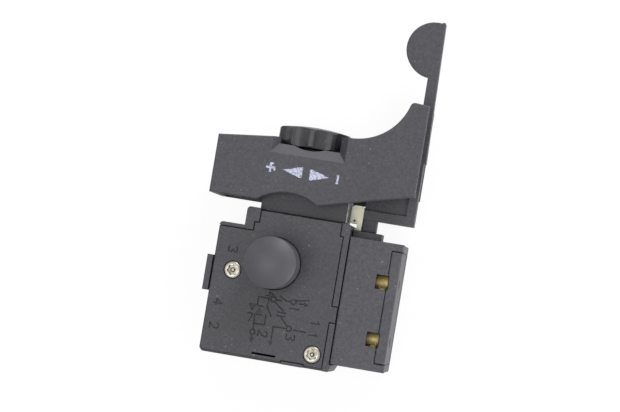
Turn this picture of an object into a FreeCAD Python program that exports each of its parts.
import FreeCAD, Part
import math
import os
import Sketcher

# Trigger switch of a hand-held drill, lying on its back.
# X runs across the housing from its wire-entry side to its reversing module.
# Y runs up the housing to the trigger, which is pressed towards -Y.
# Z runs from the flat back of the housing to the cover and its lock button.
# The origin is the centre of the housing's back face. All sizes are in millimetres.
# An "across" size is measured from the housing's left side, an "up" size from its lower side.

SIZES = {
    # Base shell of the housing
    "case_width": 33.6,
    "case_height": 38.2,
    "case_depth": 17.0,
    "case_wall": 1.4,
    "case_floor": 1.5,
    "case_corner": 0.9,
    "foot_reach": 0.9,
    "foot_rise": 1.9,
    "step_across": 6.45,
    "step_drop": 4.4,
    "rim_height": 0.95,
    "shoulder_width": 3.5,
    "shoulder_rise": 0.5,
    "shoulder_height": 3.6,
    "shoulder_foot": 2.3,
    "jamb_width": 2.2,
    "jamb_height": 3.3,
    "tab_reach": 1.9,
    "tab_groove": 0.4,
    "tab_groove_depth": 4.0,
    "tab_low": 15.7,
    "tab_high": 24.9,
    "tab_back": 2.0,
    "tab_setback": 0.6,
    "lip_across": 21.5,
    "lip_width": 5.55,
    "lip_height": 0.75,
    # Cover plate and its screws
    "cover_thickness": 2.0,
    "cover_gap": 0.1,
    "cover_setback": 0.5,
    "cover_corner": 0.6,
    "cover_bevel": 0.25,
    "ear_low": 12.4,
    "ear_height": 4.5,
    "snap_across": 13.6,
    "snap_width": 6.2,
    "snap_height": 0.5,
    "screw_across_left": 5.23,
    "screw_drop": 16.35,
    "screw_inset": 4.57,
    "screw_up_right": 3.73,
    "screw_head_radius": 2.1,
    "screw_head_height": 0.95,
    "screw_radius": 1.25,
    "screw_length": 10.0,
    "screw_socket_radius": 1.0,
    "screw_socket_depth": 0.55,
    "screw_gap": 0.05,
    "screw_play": 0.2,
    "counterbore_radius": 2.35,
    "counterbore_depth": 1.1,
    "boss_radius": 2.6,
    "boss_bore_floor": 4.0,
    # Wire entries of the housing, and the clamps behind them
    "wire_radius": 1.4,
    "wire_up_low": 7.0,
    "wire_up_middle": 13.0,
    "wire_drop": 5.1,
    "clamp_size": 4.8,
    "clamp_edge": 0.8,
    "clamp_length": 5.0,
    "seat_gap": 0.05,
    # Lock button with its pin, pot and spring
    "button_across": 15.7,
    "button_drop": 13.02,
    "button_radius": 6.62,
    "button_stand": 12.0,
    "button_dome": 2.0,
    "button_edge": 0.35,
    "button_skirt": 1.1,
    "button_wall": 1.35,
    "button_crown": 3.4,
    "button_hub_radius": 3.0,
    "button_gap": 0.2,
    "button_ear_reach": 1.3,
    "button_ear_width": 4.6,
    "button_ear_gap": 0.1,
    "pin_radius": 2.2,
    "pin_waist_radius": 1.2,
    "pin_foot_low": 7.0,
    "pin_grip": 6.0,
    "pot_radius": 3.2,
    "pot_wall": 0.7,
    "pot_top": 8.0,
    "lock_spring_radius": 1.6,
    "lock_spring_wire": 0.22,
    "lock_spring_turns": 3.0,
    # Plunger
    "trigger_travel": 6.0,
    "plunger_left": 9.5,
    "strip_room": 0.45,
    "plunger_back": 2.5,
    "plunger_front_gap": 0.3,
    "plunger_head_gap": 0.2,
    "plunger_head_height": 9.1,
    "plunger_edge": 0.5,
    "slide_gap": 0.2,
    "post_gap": 0.8,
    "runner_gap": 0.1,
    "frame_drop": 22.7,
    "frame_bar": 2.6,
    "wiper_room": 1.0,
    "lips_width": 1.3,
    "lips_depth": 1.6,
    "leg_gap": 1.6,
    "leg_margin": 1.25,
    "leg_rise": 0.32,
    "strip_thickness": 0.3,
    "strip_back": 6.0,
    "strip_front_gap": 0.2,
    "strip_height": 5.6,
    "stud_radius": 0.8,
    "stud_reach": 1.4,
    # Springs and contacts of the plunger
    "return_spring_radius": 2.0,
    "return_spring_wire": 0.3,
    "spring_seat_margin": 0.9,
    "return_spring_turns": 5.0,
    "spring_seat_up": 9.5,
    "spring_seat_thickness": 2.4,
    "spring_spigot_radius": 1.2,
    "spring_spigot_length": 2.0,
    "contact_spring_radius": 1.15,
    "contact_spring_wire": 0.18,
    "contact_spring_turns": 3.0,
    "contact_pocket_radius": 1.5,
    "contact_pocket_depth": 4.0,
    "bridge_width": 11.5,
    "bridge_depth": 4.0,
    "bridge_thickness": 0.8,
    "bridge_gap": 0.3,
    "bridge_level": 7.0,
    "button_contact_radius": 1.2,
    "button_contact_height": 0.7,
    "contact_gap": 0.15,
    # Circuit board and what it carries
    "board_left": 8.6,
    "board_gap": 0.53,
    "board_low": 2.1,
    "board_thickness": 1.2,
    "post_width": 1.7,
    "triac_width": 6.6,
    "triac_height": 6.2,
    "triac_thickness": 2.2,
    "sink_thickness": 0.8,
    "sink_margin": 0.45,
    "sink_border": 1.2,
    "resistor_radius": 1.1,
    "resistor_round": 0.37,
    "resistor_length": 6.5,
    "resistor_across": 11.0,
    "resistor_up": 4.4,
    "trimmer_size": 3.0,
    "trimmer_thickness": 2.6,
    "trimmer_margin": 0.3,
    "trimmer_up": 10.0,
    "trimmer_dial_radius": 1.0,
    "trimmer_dial_depth": 0.5,
    "capacitor_clear": 1.25,
    "capacitor_height": 13.2,
    "capacitor_rise": 0.8,
    "capacitor_thickness": 4.2,
    "capacitor_round": 0.8,
    "ledge_width": 1.5,
    "wiper_width": 2.0,
    "wiper_thickness": 0.3,
    "wiper_length": 4.5,
    "wiper_foot": 1.5,
    # Trigger shell
    "trigger_reach": 3.86,
    "trigger_length": 52.48,
    "trigger_side_gap": 0.5,
    "trigger_cheek": 1.7,
    "trigger_edge": 0.4,
    "skirt_gap": 2.55,
    "skirt_step": 0.65,
    "left_height": 15.05,
    "middle_height": 16.6,
    "middle_across": 10.1,
    "curve_height": 19.25,
    "curve_inset": 18.82,
    "curve_radius": 14.54,
    "horn_height": 30.75,
    "horn_drop": 0.35,
    "horn_round": 1.2,
    "end_height": 6.85,
    "relief_shift": 1.05,
    "relief_drop": 10.8,
    "relief_radius": 13.6,
    "front_wall": 1.8,
    "fork_inset": 4.02,
    "rib_width": 2.4,
    "rib_low": 3.6,
    "rib_shift": 1.3,
    # Speed dial, its screw and the stop nut
    "dial_across": 19.8,
    "dial_radius": 9.6,
    "dial_thickness": 4.8,
    "dial_dome": 1.0,
    "dial_edge": 0.35,
    "dial_gap": 0.1,
    "dial_pocket_gap": 0.45,
    "dial_seat_height": 15.15,
    "dial_seat_thickness": 2.4,
    "dial_socket": 2.4,
    "flute_count": 10,
    "flute_radius": 4.4,
    "flute_depth": 1.0,
    "recess_half_width": 7.8,
    "recess_flare": 1.9,
    "recess_drop": 2.6,
    "recess_depth": 2.4,
    "pocket_dip": 0.9,
    "dial_hub_radius": 5.0,
    "dial_screw_radius": 2.0,
    "dial_screw_edge": 0.4,
    "dial_screw_length": 8.0,
    "running_gap": 0.05,
    "clip_radius": 2.9,
    "clip_thickness": 0.6,
    "clip_mouth": 2.6,
    "nut_size": 6.0,
    "nut_thickness": 2.9,
    "nut_travel": 4.0,
    "nut_arm_width": 2.0,
    "nut_arm_thickness": 1.0,
    "nut_foot_thickness": 1.6,
    "nut_foot_gap": 0.7,
    "nut_foot_clearance": 0.25,
    "guide_thickness": 1.2,
    # Reversing module
    "module_gap": 0.2,
    "module_width": 14.05,
    "module_low": 2.05,
    "module_drop": 3.0,
    "module_setback": 1.6,
    "module_wall": 1.4,
    "module_corner": 0.5,
    "lid_thickness": 1.6,
    "lid_bevel": 0.2,
    "rail_reach": 0.9,
    "rail_height": 22.0,
    "rail_depth": 6.0,
    "pad_width": 7.45,
    "pad_depth": 8.2,
    "pad_height": 1.85,
    "pad_round": 0.8,
    "cap_width": 2.95,
    "cap_margin": 2.05,
    "cap_gap": 0.1,
    "window_width": 3.4,
    "window_height": 3.7,
    "window_notch": 0.5,
    "sleeve_rise": 5.97,
    "sleeve_drop": 8.22,
    "sleeve_offset": 2.9,
    "sleeve_radius": 2.2,
    "sleeve_length": 3.6,
    "leaf_thickness": 0.45,
    "leaf_width": 3.0,
    # Reversing lever and its rotor
    "lever_inset": 3.75,
    "journal_radius": 1.9,
    "neck_width": 3.83,
    "neck_round": 0.5,
    "neck_gap": 0.2,
    "neck_rise": 3.2,
    "foot_thickness": 2.5,
    "foot_length": 11.37,
    "lever_depth": 4.8,
    "lever_web": 1.8,
    "post_reach": 9.07,
    "post_rise": 14.4,
    "web_slope": 5.8,
    "arm_reach": 8.7,
    "arm_width": 3.15,
    "arm_depth": 4.0,
    "arm_step_rise": 14.2,
    "arm_lean": 0.75,
    "moon_reach": 9.15,
    "moon_rise": 43.83,
    "tab_radius": 7.2,
    "tab_round": 0.5,
    "nub_setback": 0.15,
    "nub_rise": 0.22,
    "nub_width": 0.55,
    "nub_slope": 0.4,
    "tab_edge": 0.3,
    "tongue_reach": 5.0,
    "tongue_width": 3.05,
    "tongue_gap": 0.15,
    "tongue_step": 1.65,
    "tongue_cut": 1.75,
    "tongue_height": 6.35,
    "tongue_depth": 4.0,
    "tongue_round": 0.8,
    "tongue_hole": 0.35,
    "tongue_hole_inset": 1.0,
    "peg_radius": 0.7,
    "peg_length": 1.6,
    "key_size": 2.0,
    "key_length": 3.0,
    "rotor_radius": 2.25,
    "rotor_drop": 2.2,
    "rotor_low": 6.5,
    "rotor_pivot_radius": 1.2,
    "rotor_pivot_depth": 0.9,
    "contact_ring_thickness": 0.4,
    "contact_ring_width": 4.0,
    "contact_ring_angle": 110.0,
}

# Helper values: how far a cut reaches past the solid it cuts
OVER = 1.0
# Two numbers nearer than this are the same place when an edge is picked
NEAR = 1e-4

PLANES = {"z": "XY_Plane", "y": "XZ_Plane", "x": "YZ_Plane"}
TURNS = {
    "z": FreeCAD.Rotation(),
    "y": FreeCAD.Rotation(FreeCAD.Vector(1, 0, 0), -90),
    "x": FreeCAD.Rotation(FreeCAD.Vector(0, 1, 0), 90),
}

doc = FreeCAD.newDocument("TriggerSwitch")
sheet = doc.addObject("Spreadsheet::Sheet", "Sizes")


class Size:
    """A number together with the sheet expression that gives it."""

    def __init__(self, number, text):
        self.number = float(number)
        self.text = text

    def __add__(self, other):
        other = as_size(other)
        return Size(self.number + other.number, f"({self.text} + {other.text})")

    def __sub__(self, other):
        other = as_size(other)
        return Size(self.number - other.number, f"({self.text} - {other.text})")

    def __mul__(self, other):
        other = as_size(other)
        return Size(self.number * other.number, f"({self.text} * {other.text})")

    def __truediv__(self, other):
        other = as_size(other)
        return Size(self.number / other.number, f"({self.text} / {other.text})")

    def __neg__(self):
        return Size(-self.number, f"(0 - {self.text})")

    __radd__ = __add__

    def __rsub__(self, other):
        return as_size(other) - self

    __rmul__ = __mul__

    def __rtruediv__(self, other):
        return as_size(other) / self


def as_size(value):
    """A plain number as a Size, and a Size as it is."""
    if isinstance(value, Size):
        return value
    return Size(value, f"({float(value)})")


def root(value):
    """The square root of a Size."""
    return Size(math.sqrt(value.number), f"sqrt({value.text})")


class Sheet:
    """The driving sizes, each one a Size of its own name."""

    def __init__(self):
        for row, (name, number) in enumerate(SIZES.items(), start=1):
            sheet.set(f"A{row}", name.replace("_", " "))
            sheet.set(f"B{row}", str(number))
            sheet.setAlias(f"B{row}", name)
            setattr(self, name, Size(number, f"Sizes.{name}"))
        self.follow_housing()
        self.follow_inside()
        self.follow_trigger()
        self.follow_module()

    def follow_housing(self):
        """Places on the housing that follow from the driving sizes."""
        self.face = self.case_depth + self.cover_thickness
        self.middle = self.face / 2
        self.inner_right = self.case_width - self.case_wall
        self.step_up = self.case_height - self.step_drop
        self.tab_front = self.face - self.tab_setback
        self.screw_up_left = self.case_height - self.screw_drop
        self.screw_across_right = self.case_width - self.screw_inset
        self.wire_up_high = self.step_up - self.wire_drop
        self.button_up = self.case_height - self.button_drop
        self.button_bottom = self.case_depth - self.button_skirt

    def follow_inside(self):
        """Places of the board, the plunger and the contacts."""
        self.board_level = (
            self.case_depth
            - self.slide_gap
            - self.sink_thickness
            - self.triac_thickness
            - self.board_thickness
        )
        self.board_front = self.board_level + self.board_thickness
        self.board_right = self.screw_across_right - self.boss_radius - self.board_gap
        self.board_top = self.button_up - self.button_radius - self.board_gap
        self.trimmer_across = self.board_right - self.trimmer_size - self.trimmer_margin
        self.sink_left = self.board_left + self.sink_margin
        self.sink_right = self.trimmer_across - self.sink_margin
        self.sink_low = self.board_low + self.sink_border
        self.sink_high = self.board_top - self.sink_border
        ear_end = self.button_across + self.button_radius + self.button_ear_reach
        self.capacitor_left = ear_end + self.capacitor_clear
        self.capacitor_right = self.inner_right - self.slide_gap
        self.capacitor_up = self.board_top + self.capacitor_rise
        self.capacitor_back = self.case_depth - self.capacitor_thickness - self.button_ear_gap
        self.plunger_front = self.case_depth - self.plunger_front_gap
        self.plunger_head_low = self.case_height + self.plunger_head_gap
        self.plunger_top = self.plunger_head_low + self.plunger_head_height
        self.plunger_right = self.inner_right - self.strip_room
        self.frame_front = self.board_level - self.wiper_room
        self.frame_low = self.case_height - self.frame_drop
        self.frame_right = self.button_across * 2 - self.plunger_left
        self.leg_across = self.frame_right + self.leg_gap
        self.leg_right = self.plunger_right - self.leg_margin
        self.leg_middle = (self.leg_across + self.leg_right) / 2
        self.leg_low = self.button_up + self.leg_rise
        self.bridge_top = self.frame_low - self.bridge_gap
        self.bridge_low = self.bridge_top - self.bridge_thickness
        self.bridge_left = self.button_across - self.bridge_width / 2
        self.bridge_right = self.button_across + self.bridge_width / 2
        self.bridge_back = self.bridge_level - self.bridge_depth / 2
        self.bridge_front = self.bridge_level + self.bridge_depth / 2
        self.contact_low = self.bridge_low - self.button_contact_height
        fixed_top = self.contact_low - self.trigger_travel - self.contact_gap
        self.blade_top = fixed_top - self.button_contact_height
        self.blade_low = self.blade_top - self.bridge_thickness

    def follow_trigger(self):
        """Places on the trigger and its dial."""
        self.trigger_low = self.case_height + self.skirt_gap
        self.trigger_back = -(self.trigger_side_gap + self.trigger_cheek)
        self.trigger_front = self.face + self.trigger_side_gap + self.trigger_cheek
        self.cheek_back = -self.trigger_side_gap
        self.cheek_front = self.face + self.trigger_side_gap
        self.trigger_right = self.trigger_length - self.trigger_reach
        self.curve_across = self.trigger_right - self.curve_inset
        self.fork_across = self.trigger_right - self.fork_inset
        self.rib_left = self.plunger_left + self.rib_shift + self.rib_width / 2
        self.rib_right = self.plunger_right - self.rib_shift - self.rib_width / 2
        self.stud_up = self.trigger_low + self.rib_low + self.rib_width / 2
        self.dial_floor = self.trigger_low + self.dial_seat_height
        self.dial_seat_low = self.dial_floor - self.dial_seat_thickness
        self.nut_top = self.dial_seat_low - self.clip_thickness - self.dial_gap * 2
        self.nut_low = self.nut_top - self.nut_thickness

    def follow_module(self):
        """Places on the reversing module and its lever."""
        self.module_left = self.case_width + self.module_gap
        self.module_right = self.module_left + self.module_width
        self.module_top = self.case_height - self.module_drop
        self.module_back = self.module_setback / 2
        self.module_front = self.face - self.module_setback / 2
        self.module_centre = (self.module_low + self.module_top) / 2
        self.lid_back = self.module_front - self.lid_thickness
        self.cap_left = self.module_right - self.cap_width
        self.window_left = self.cap_left + self.window_notch - self.window_width
        self.cap_low = self.module_low + self.cap_margin
        self.cap_high = self.module_top - self.cap_margin
        self.pad_top = self.module_top + self.pad_height
        self.sleeve_left = self.cap_left - self.sleeve_length
        self.sleeve_up_low = self.cap_low + self.sleeve_rise
        self.sleeve_up_high = self.cap_high - self.sleeve_drop
        self.sleeve_level = self.middle + self.sleeve_offset
        self.lever_across = self.module_left + self.lever_inset
        self.foot_up = self.pad_top + self.neck_rise
        self.foot_top = self.foot_up + self.foot_thickness
        self.foot_end = self.lever_across + self.foot_length
        self.post_inner = self.lever_across + self.post_reach
        self.web_up = self.foot_top + self.post_rise
        self.arm_inner = self.lever_across + self.arm_reach
        self.arm_outer = self.arm_inner + self.arm_width
        self.arm_step_up = self.foot_top + self.arm_step_rise
        self.tab_centre_across = self.lever_across + self.moon_reach
        self.tab_centre_up = self.foot_top + self.moon_rise
        self.tongue_left = self.lever_across - self.tongue_reach
        self.tongue_low = self.pad_top + self.tongue_gap


def bind(item, prop, value):
    """Set one property of an object by the sheet."""
    item.setExpression(prop, as_size(value).text)


def place(item, where, turn=None):
    """Put an object where the sheet says, turned as given."""
    item.Placement = FreeCAD.Placement(
        FreeCAD.Vector(*[as_size(value).number for value in where]),
        turn or FreeCAD.Rotation(),
    )
    for axis, value in zip("xyz", where):
        bind(item, f"Placement.Base.{axis}", value)


class Bend:
    """A corner of an outline that is reached along an arc of the given radius.

    The arc's centre lies to the left of the way to the corner, or to the right.
    """

    def __init__(self, first, second, radius, side):
        self.place = (first, second)
        self.radius = radius
        self.side = side


def crossed(corner):
    """A corner with its two directions exchanged."""
    if isinstance(corner, Bend):
        side = "right" if corner.side == "left" else "left"
        return Bend(corner.place[1], corner.place[0], corner.radius, side)
    return (corner[1], corner[0])


def arc_centre(start, end, radius, side):
    """Centre of the arc of less than half a turn from start to end."""
    half = ((end[0] - start[0]) / 2, (end[1] - start[1]) / 2)
    chord = math.hypot(*half)
    reach = math.sqrt(max(radius * radius - chord * chord, 0)) / chord
    sign = 1 if side == "left" else -1
    return (
        start[0] + half[0] - sign * half[1] * reach,
        start[1] + half[1] + sign * half[0] * reach,
    )


class Piece:
    """A sub-part: one body and its features, in the order they are made."""

    made = []

    def __init__(self, label):
        self.body = doc.addObject("PartDesign::Body", label)
        self.body.Label = label
        self.cuts = []
        self.tip = None
        Piece.made.append(self)

    def feature(self, kind, role):
        """A new feature of this body, named after what it makes."""
        self.tip = self.body.newObject(kind, f"{self.body.Name}_{role}")
        if kind.startswith("PartDesign::Subtractive") or kind == "PartDesign::Pocket":
            self.cuts.append(self.tip)
        return self.tip

    def sketch(self, role, outline, axis, level):
        """A closed outline, square to an axis, its corners bound to the sheet."""
        item = self.body.newObject("Sketcher::SketchObject", f"{self.body.Name}_{role}_outline")
        planes = {plane.Role: plane for plane in self.body.Origin.OriginFeatures}
        item.AttachmentSupport = [(planes[PLANES[axis]], "")]
        item.MapMode = "FlatFace"
        bind(item, "AttachmentOffset.Base.z", -as_size(level) if axis == "y" else level)
        corners = [c.place if isinstance(c, Bend) else c for c in outline]
        corners = [(as_size(a), as_size(b)) for a, b in corners]
        count = len(corners)
        ends = []
        for index, corner in enumerate(outline):
            start = tuple(value.number for value in corners[index - 1])
            end = tuple(value.number for value in corners[index])
            if isinstance(corner, Bend):
                ends.append(self.arc(item, corner, start, end))
            else:
                line = Part.LineSegment(FreeCAD.Vector(*start, 0), FreeCAD.Vector(*end, 0))
                item.addGeometry(line, False)
                ends.append((1, 2))
        for index in range(count):
            after = (index + 1) % count
            joint = Sketcher.Constraint("Coincident", index, ends[index][1], after, ends[after][0])
            item.addConstraint(joint)
            for kind, value in zip(("DistanceX", "DistanceY"), corners[index]):
                number = item.addConstraint(
                    Sketcher.Constraint(kind, -1, 1, index, ends[index][1], value.number)
                )
                bind(item, f"Constraints[{number}]", value)
        for index, corner in enumerate(outline):
            if isinstance(corner, Bend):
                radius = as_size(corner.radius)
                number = item.addConstraint(Sketcher.Constraint("Radius", index, radius.number))
                bind(item, f"Constraints[{number}]", radius)
        return item

    def arc(self, item, corner, start, end):
        """Add one arc to a sketch, and say which of its ends comes first."""
        radius = as_size(corner.radius).number
        middle = arc_centre(start, end, radius, corner.side)
        circle = Part.Circle(FreeCAD.Vector(*middle, 0), FreeCAD.Vector(0, 0, 1), radius)
        first = math.atan2(start[1] - middle[1], start[0] - middle[0])
        last = math.atan2(end[1] - middle[1], end[0] - middle[0])
        if corner.side == "left":
            item.addGeometry(Part.ArcOfCircle(circle, first, last), False)
            return (1, 2)
        item.addGeometry(Part.ArcOfCircle(circle, last, first), False)
        return (2, 1)

    def pad(self, role, outline, low, high, axis="z"):
        """Solid from an outline, between two levels of an axis."""
        drawn = self.sketch(role, outline, axis, high if axis == "y" else low)
        item = self.feature("PartDesign::Pad", role)
        item.Profile = drawn
        bind(item, "Length", as_size(high) - low)
        return self

    def pocket(self, role, outline, low, high, axis="z"):
        """Cut an outline away between two levels of an axis."""
        drawn = self.sketch(role, outline, axis, low if axis == "y" else high)
        item = self.feature("PartDesign::Pocket", role)
        item.Profile = drawn
        bind(item, "Length", as_size(high) - low)
        return self

    def revolve(self, role, section, axis="z"):
        """Solid from a half section of radii and heights, turned about Z or Y."""
        if axis == "y":
            section = [crossed(corner) for corner in section]
        drawn = self.sketch(role, section, "y" if axis == "z" else "x", 0)
        item = self.feature("PartDesign::Revolution", role)
        item.Profile = drawn
        item.ReferenceAxis = (drawn, ["V_Axis" if axis == "z" else "H_Axis"])
        item.Angle = 360
        return self

    def box(self, role, low, high, cut=False):
        """Add or cut a block between two corners."""
        kind = "PartDesign::SubtractiveBox" if cut else "PartDesign::AdditiveBox"
        item = self.feature(kind, role)
        for prop, near, far in zip(("Length", "Width", "Height"), low, high):
            bind(item, prop, as_size(far) - near)
        place(item, low)
        return self

    def round_bar(self, role, start, radius, length, axis="z", cut=False):
        """Add or cut a cylinder that runs from a point along an axis."""
        kind = "PartDesign::SubtractiveCylinder" if cut else "PartDesign::AdditiveCylinder"
        item = self.feature(kind, role)
        bind(item, "Radius", radius)
        bind(item, "Height", length)
        place(item, start, TURNS[axis])
        return self

    def funnel(self, role, low_outline, low, high_outline, high):
        """Cut a tapering hole between two outlines at two levels of Z."""
        first = self.sketch(f"{role}_low", low_outline, "z", low)
        second = self.sketch(f"{role}_high", high_outline, "z", high)
        item = self.feature("PartDesign::SubtractiveLoft", role)
        item.Profile = first
        item.Sections = [second]
        item.Ruled = True
        return self

    def edges(self, wanted):
        """Names of the last feature's edges that pass a test."""
        doc.recompute()
        found = enumerate(self.tip.Shape.Edges, start=1)
        return [f"Edge{number}" for number, edge in found if wanted(edge)]

    def dress(self, kind, role, names, prop, size):
        """Round or bevel some edges of the last feature."""
        base = self.tip
        item = self.feature(kind, role)
        item.Base = (base, names)
        bind(item, prop, size)
        return self

    def fillet(self, role, radius, wanted):
        """Round the edges that pass a test."""
        return self.dress("PartDesign::Fillet", role, self.edges(wanted), "Radius", radius)

    def chamfer(self, role, size, wanted):
        """Bevel the edges that pass a test."""
        return self.dress("PartDesign::Chamfer", role, self.edges(wanted), "Size", size)

    def helix(self, radius, wire, length, turns):
        """A compression spring that stands on the body's own origin."""
        item = self.body.newObject("Sketcher::SketchObject", f"{self.body.Name}_wire")
        planes = {plane.Role: plane for plane in self.body.Origin.OriginFeatures}
        item.AttachmentSupport = [(planes["XZ_Plane"], "")]
        item.MapMode = "FlatFace"
        centre = FreeCAD.Vector(radius.number, wire.number, 0)
        item.addGeometry(Part.Circle(centre, FreeCAD.Vector(0, 0, 1), wire.number), False)
        for kind, value in (("DistanceX", radius), ("DistanceY", wire)):
            number = item.addConstraint(Sketcher.Constraint(kind, -1, 1, 0, 3, value.number))
            bind(item, f"Constraints[{number}]", value)
        number = item.addConstraint(Sketcher.Constraint("Radius", 0, wire.number))
        bind(item, f"Constraints[{number}]", wire)
        coil = self.feature("PartDesign::AdditiveHelix", "coil")
        coil.Profile = item
        coil.ReferenceAxis = (item, ["V_Axis"])
        coil.Mode = 0
        rise = length - wire * 2
        bind(coil, "Pitch", rise / turns)
        bind(coil, "Height", rise)


def upright_at(*places):
    """A test for edges along Z that stand at one of some places."""
    return runs_along("Z", "XY", places)


def level_at(*places):
    """A test for edges along Y that lie at one of some places of X and Z."""
    return runs_along("Y", "XZ", places)


def runs_along(axis, square, places):
    """A test for straight edges along an axis through places square to it."""

    def wanted(edge):
        box = edge.BoundBox
        if any(getattr(box, f"{name}Length") > NEAR for name in square):
            return False
        where = [getattr(box, f"{name}Min") for name in square]
        long = getattr(box, f"{axis}Length") > NEAR
        return long and any(
            all(abs(near - as_size(far).number) < NEAR for near, far in zip(where, place))
            for place in places
        )

    return wanted


def lies_at_level(*levels):
    """A test for edges that lie flat at one of some heights."""

    def wanted(edge):
        box = edge.BoundBox
        flat = box.ZLength < NEAR
        return flat and any(abs(box.ZMin - as_size(z).number) < NEAR for z in levels)

    return wanted


def round_at_level(*levels):
    """A test for curved edges that lie flat at one of some heights."""
    flat = lies_at_level(*levels)

    def wanted(edge):
        return flat(edge) and isinstance(edge.Curve, Part.Circle)

    return wanted


dims = Sheet()


def across(distance):
    """X of a place so far from the housing's left side."""
    return as_size(distance) - dims.case_width / 2


def up(distance):
    """Y of a place so far from the housing's lower side."""
    return as_size(distance) - dims.case_height / 2


def rectangle(left, low, right, high):
    """The four corners of a rectangle."""
    return [(left, low), (right, low), (right, high), (left, high)]


def cover_recess_outline():
    """Where the cover lies in the base shell, open to the left, below and above."""
    right_jamb = dims.case_width - dims.jamb_width
    lip_up = dims.case_height + dims.shoulder_rise - dims.shoulder_height
    foot_right = dims.step_across + dims.shoulder_foot
    shoulder_right = dims.step_across + dims.shoulder_width
    jamb_low = dims.case_height - dims.jamb_height
    rim_low = dims.step_up - dims.rim_height
    return [
        (across(-OVER), up(-OVER)),
        (across(dims.inner_right), up(-OVER)),
        *ear(dims.case_width + OVER, 0),
        (across(dims.inner_right), up(jamb_low)),
        (across(right_jamb), up(jamb_low)),
        (across(right_jamb), up(dims.case_height + OVER)),
        (across(shoulder_right), up(dims.case_height + OVER)),
        (across(shoulder_right), up(lip_up)),
        (across(foot_right), up(lip_up)),
        (across(foot_right), up(rim_low)),
        (across(-OVER), up(rim_low)),
    ]


def ear(right, gap):
    """Corners of the ear by which the cover laps over the right wall."""
    low = dims.ear_low + gap
    high = dims.ear_low + dims.ear_height - gap
    return [
        (across(dims.inner_right - gap), up(low)),
        (across(right), up(low)),
        (across(right), up(high)),
        (across(dims.inner_right - gap), up(high)),
    ]


def base_shell():
    """Open moulded box that carries everything, with its posts, pot and rail."""
    piece = Piece("base_shell")
    shoulder_right = dims.step_across + dims.shoulder_width
    shoulder_top = dims.case_height + dims.shoulder_rise
    outline = [
        (across(0), up(0)),
        (across(dims.case_width), up(0)),
        (across(dims.case_width + dims.foot_reach), up(dims.foot_rise)),
        (across(dims.case_width), up(dims.foot_rise)),
        (across(dims.case_width), up(dims.case_height)),
        (across(shoulder_right), up(dims.case_height)),
        (across(shoulder_right), up(shoulder_top)),
        (across(dims.step_across), up(shoulder_top)),
        (across(dims.step_across), up(dims.step_up)),
        (across(0), up(dims.step_up)),
    ]
    piece.pad("shell", outline, 0, dims.face)
    corners = upright_at(outline[0], outline[4], outline[7], outline[9])
    piece.fillet("corners", dims.case_corner, corners)
    piece.pocket("cover_recess", cover_recess_outline(), dims.case_depth, dims.face + OVER)
    step_inner = dims.step_across + dims.case_wall
    cavity = [
        (across(dims.case_wall), up(dims.case_wall)),
        (across(dims.inner_right), up(dims.case_wall)),
        (across(dims.inner_right), up(dims.case_height - dims.case_wall)),
        (across(step_inner), up(dims.case_height - dims.case_wall)),
        (across(step_inner), up(dims.step_up - dims.case_wall)),
        (across(dims.case_wall), up(dims.step_up - dims.case_wall)),
    ]
    piece.pocket("cavity", cavity, dims.case_floor, dims.case_depth)
    piece.box(
        "plunger_opening",
        (
            across(dims.plunger_left - dims.slide_gap),
            up(dims.case_height - dims.case_wall - OVER),
            dims.plunger_back - dims.runner_gap,
        ),
        (across(dims.inner_right), up(dims.case_height + OVER), dims.case_depth),
        cut=True,
    )
    add_screw_bosses(piece)
    for name, height in wire_entries():
        start = (across(-OVER), up(height), dims.middle)
        length = dims.case_wall + OVER * 2
        piece.round_bar(f"wire_{name}", start, dims.wire_radius, length, "x", cut=True)
    add_locating_tab(piece)
    piece.box(
        "lower_lip",
        (across(dims.lip_across), up(0), dims.case_depth - dims.case_wall),
        (across(dims.lip_across + dims.lip_width), up(dims.lip_height), dims.face),
    )
    add_spring_pot(piece)
    add_return_spring_seat(piece)
    add_board_posts(piece)
    add_contact_ribs(piece)
    add_runners(piece)
    add_module_rail(piece)


def add_screw_bosses(piece):
    """Two bored bosses that take the cover screws."""
    for name, x, y in screw_places():
        rise = dims.case_depth - dims.case_floor + dims.case_floor / 2
        start = (across(x), up(y), dims.case_floor / 2)
        piece.round_bar(f"boss_{name}", start, dims.boss_radius, rise)
    for name, x, y in screw_places():
        start = (across(x), up(y), dims.boss_bore_floor)
        length = dims.case_depth - dims.boss_bore_floor + OVER
        bore = dims.screw_radius + dims.screw_gap
        piece.round_bar(f"boss_bore_{name}", start, bore, length, cut=True)


def screw_places():
    """Name and place of each cover screw."""
    return [
        ("left", dims.screw_across_left, dims.screw_up_left),
        ("right", dims.screw_across_right, dims.screw_up_right),
    ]


def wire_entries():
    """Name and height of each wire entry of the housing."""
    return [
        ("low", dims.wire_up_low),
        ("middle", dims.wire_up_middle),
        ("high", dims.wire_up_high),
    ]


def add_locating_tab(piece):
    """Rib down the housing's left side, with a groove behind its free edge."""
    piece.box(
        "tab_web",
        (across(-dims.tab_groove), up(dims.tab_low), dims.tab_back),
        (across(dims.case_wall / 2), up(dims.tab_high), dims.case_depth - dims.tab_groove_depth),
    )
    piece.box(
        "tab_rib",
        (across(-dims.tab_reach), up(dims.tab_low), dims.tab_back),
        (across(-dims.tab_groove), up(dims.tab_high), dims.tab_front),
    )


def add_spring_pot(piece):
    """Pot on the floor that guides the lock pin's foot and holds its spring."""
    centre = (across(dims.button_across), up(dims.button_up), dims.case_floor / 2)
    rise = dims.pot_top - dims.case_floor / 2
    piece.round_bar("pot", centre, dims.pot_radius, rise)
    hollow = (across(dims.button_across), up(dims.button_up), dims.case_floor)
    depth = dims.pot_top - dims.case_floor + OVER
    piece.round_bar("pot_bore", hollow, dims.pot_radius - dims.pot_wall, depth, cut=True)


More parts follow.
